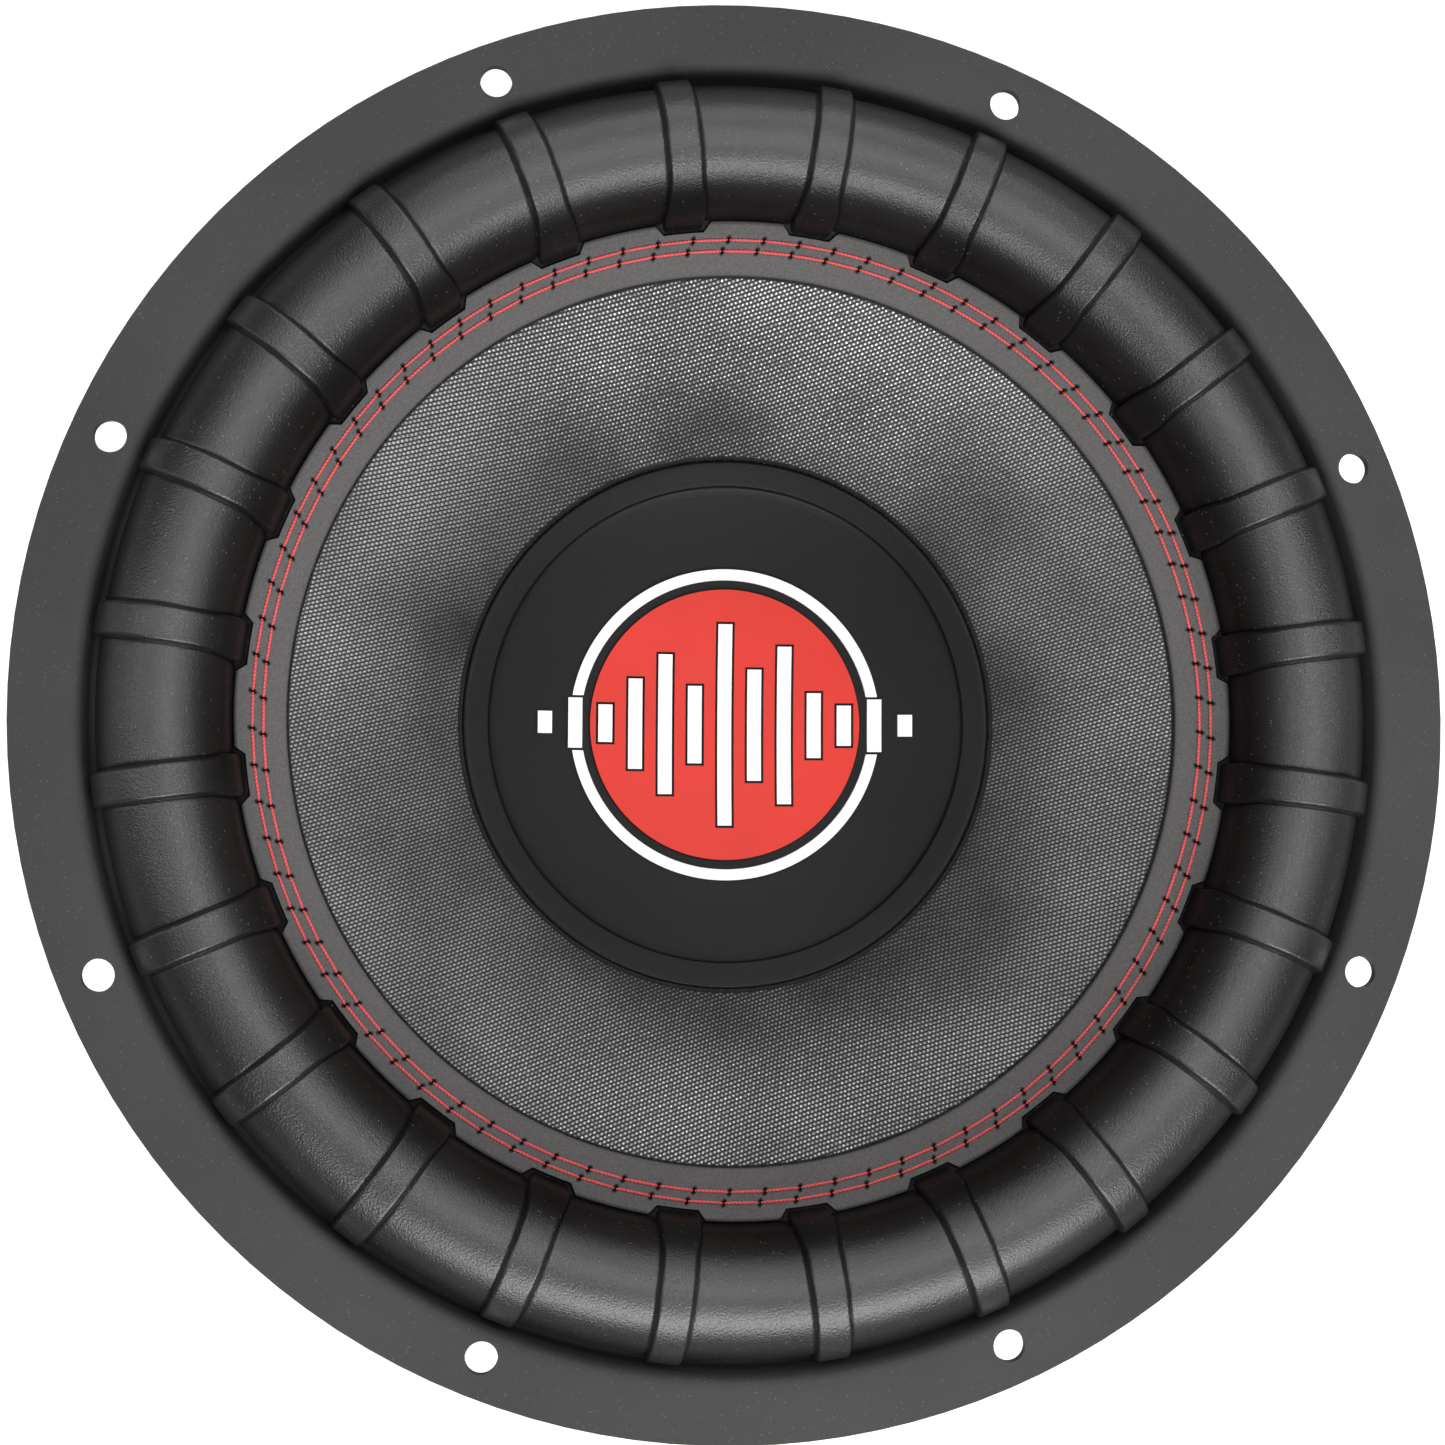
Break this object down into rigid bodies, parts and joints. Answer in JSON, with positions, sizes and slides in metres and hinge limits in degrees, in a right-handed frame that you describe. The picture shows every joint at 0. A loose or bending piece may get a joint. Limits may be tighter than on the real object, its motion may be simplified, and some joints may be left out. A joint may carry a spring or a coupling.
{
  "type": "car subwoofer speaker",
  "caption": "Round 12 inch car subwoofer driver: flat steel flange, tall ribbed surround stitched to a woven cone, dished dust cap, windowed basket, double magnet.",
  "frame": {"origin": "centre of the magnet boot's back face, on the surface the speaker stands on", "axes": "+Z out of the cone along the speaker's axis; +X through the first terminal; the bolt holes start at 22.5 degrees from +X"},
  "size_m": [0.316, 0.316, 0.1756],
  "materials": {
    "basket_paint": "matte textured black powder coat",
    "plated_steel": "dull zinc plate",
    "ferrite": "ground dark grey ceramic",
    "aluminium_ring": "turned",
    "boot_rubber": "satin moulded rubber",
    "vent_mesh": "woven wire, black",
    "spider_cloth": "resin-dipped corrugated cloth",
    "spacer_board": "matte pressed board",
    "surround_foam": "fine-grained satin foam",
    "cone_paper": "pressed black paper pulp",
    "woven_skin": "plain-woven fibre with a silvery sheen",
    "thread": "twisted red thread",
    "dust_cap": "satin black with a fine leather grain",
    "black_glue": "cured rubber glue",
    "brown_glue": "cured glue",
    "badge_white": "satin white",
    "badge_red": "satin red",
    "former_sheet": "amber glass-fibre sheet",
    "copper_wire": "enamelled copper wire",
    "terminal_plastic": "moulded black plastic",
    "button_red": "moulded red plastic",
    "button_black": "moulded black plastic",
    "contact_metal": "tinned brass",
    "rivet_metal": "set aluminium rivet",
    "black_screw": "black oxide",
    "tinsel_braid": "braided tinsel over cotton"
  },
  "bodies": {
    "frame": {"basket": "basket_paint", "front_plate": "plated_steel", "magnet_front": "ferrite", "magnet_rear": "ferrite", "yoke": "plated_steel", "shorting_ring": "aluminium_ring", "magnet_boot": "boot_rubber", "vent_mesh": "vent_mesh", "spider_upper": "spider_cloth", "spider_lower": "spider_cloth", "spider_spacer": "spacer_board", "surround": "surround_foam", "terminal_1": "terminal_plastic", "terminal_2": "terminal_plastic", "plate_screw_1": "black_screw", "plate_screw_2": "black_screw", "plate_screw_3": "black_screw", "plate_screw_4": "black_screw", "plate_screw_5": "black_screw", "plate_screw_6": "black_screw", "contact_1_red": "contact_metal", "lead_1_red": "tinsel_braid", "contact_1_black": "contact_metal", "lead_1_black": "tinsel_braid", "contact_2_red": "contact_metal", "lead_2_red": "tinsel_braid", "contact_2_black": "contact_metal", "lead_2_black": "tinsel_braid", "rivet_1_left": "rivet_metal", "rivet_1_right": "rivet_metal", "rivet_2_left": "rivet_metal", "rivet_2_right": "rivet_metal"},
    "cone": {"cone_paper": "cone_paper", "cone_skin": "woven_skin", "stitch_outer": "thread", "stitch_inner": "thread", "dust_cap": "dust_cap", "cap_bead": "black_glue", "badge_ring": "badge_white", "badge_disc": "badge_red", "badge_bars": "badge_white", "former": "former_sheet", "winding_inner": "copper_wire", "winding_outer": "copper_wire", "glue_upper": "brown_glue", "glue_lower": "brown_glue", "lead_tag_1_red": "contact_metal", "lead_tag_1_black": "contact_metal", "lead_tag_2_red": "contact_metal", "lead_tag_2_black": "contact_metal"},
    "push_1_red": {"button_1_red": "button_red"},
    "push_1_black": {"button_1_black": "button_black"},
    "push_2_red": {"button_2_red": "button_red"},
    "push_2_black": {"button_2_black": "button_black"}
  },
  "joints": [
    {"name": "cone_travel", "type": "slide", "parent": "frame", "child": "cone", "axis": [0, 0, 1], "range_m": [-0.012, 0.012], "stiffness_N_per_m": 12000, "deforming": ["surround", "spider_upper", "spider_lower", "lead_1_red", "lead_1_black", "lead_2_red", "lead_2_black"]},
    {"name": "press_1_red", "type": "slide", "parent": "frame", "child": "push_1_red", "axis": [-0.8356, 0, 0.5493], "range_m": [0, 0.003], "stiffness_N_per_m": 700},
    {"name": "press_1_black", "type": "slide", "parent": "frame", "child": "push_1_black", "axis": [-0.8356, 0, 0.5493], "range_m": [0, 0.003], "stiffness_N_per_m": 700},
    {"name": "press_2_red", "type": "slide", "parent": "frame", "child": "push_2_red", "axis": [0.8356, 0, 0.5493], "range_m": [0, 0.003], "stiffness_N_per_m": 700},
    {"name": "press_2_black", "type": "slide", "parent": "frame", "child": "push_2_black", "axis": [0.8356, 0, 0.5493], "range_m": [0, 0.003], "stiffness_N_per_m": 700}
  ]
}
